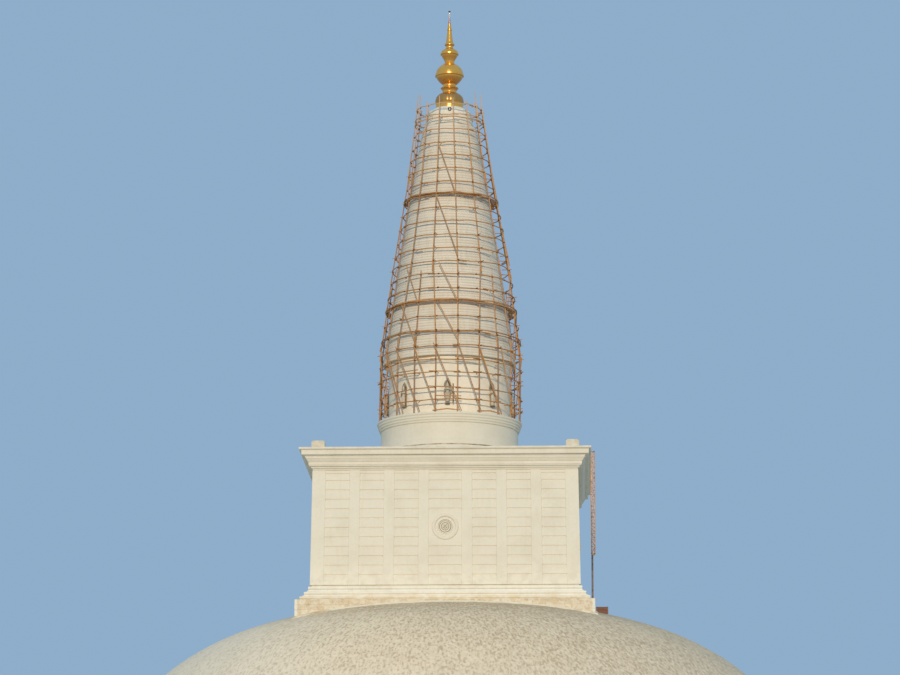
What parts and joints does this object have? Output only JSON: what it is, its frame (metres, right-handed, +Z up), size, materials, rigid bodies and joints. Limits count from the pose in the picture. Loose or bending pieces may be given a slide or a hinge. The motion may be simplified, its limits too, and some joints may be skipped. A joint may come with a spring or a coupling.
{
  "type": "stupa, 1:10 scale model",
  "caption": "White plastered brick stupa with round terraces, bubble dome, square chamber, ringed spire, gilded pinnacle and a pole scaffold; scale model.",
  "frame": {"origin": "on the ground, under the tip of the pinnacle, at the middle of the lowest terrace's underside", "axes": "+Z up along the spire, -Y towards the front of the picture, +X to the right seen from the front"},
  "size_m": [9.1, 9.1, 10.3],
  "materials": {
    "white_plaster": "limewashed plaster, warm white, faint streaks and dirt in the joints",
    "dome_plaster": "weathered limewash, greyer, with fine upright streaks",
    "footing_stone": "yellow-brown weathered stone blocks",
    "gilding": "bright gilded copper",
    "crystal": "clear crystal on a slim rod",
    "scaffold_pole": "raw orange-brown timber poles lashed with rope",
    "mast_steel": "rust-red primer on steel angle",
    "box_timber": "dark weathered boards"
  },
  "bodies": {
    "root": {"lower_terrace": "white_plaster", "middle_terrace": "white_plaster", "upper_terrace": "white_plaster", "dome": "dome_plaster", "front_frontispiece": "white_plaster", "right_frontispiece": "white_plaster", "back_frontispiece": "white_plaster", "left_frontispiece": "white_plaster", "plinth_footing": "footing_stone", "plinth_lower_course": "white_plaster", "plinth_middle_course": "white_plaster", "plinth_upper_course": "white_plaster", "chamber_core": "white_plaster", "front_wall": "white_plaster", "right_wall": "white_plaster", "back_wall": "white_plaster", "left_wall": "white_plaster", "front_medallion": "white_plaster", "right_medallion": "white_plaster", "back_medallion": "white_plaster", "left_medallion": "white_plaster", "cornice_bed_course": "white_plaster", "cornice_fillet_course": "white_plaster", "cornice_cyma_course": "white_plaster", "cornice_corona": "white_plaster", "drum_step": "white_plaster", "lower_drum": "white_plaster", "drum_ledge": "white_plaster", "figure_drum": "white_plaster", "spire_cone": "white_plaster", "spire_neck": "white_plaster", "spire_cap": "white_plaster", "pinnacle_foot": "gilding", "pinnacle_collar": "gilding", "pinnacle_large_bulb": "gilding", "pinnacle_small_bulb": "gilding", "pinnacle_spike": "gilding", "crystal_tip": "crystal", "scaffold_first_tier": "scaffold_pole", "scaffold_second_tier": "scaffold_pole", "scaffold_third_tier": "scaffold_pole", "scaffold_top_tier": "scaffold_pole", "hoist_mast": "mast_steel", "dome_box": "box_timber"}
  },
  "joints": []
}
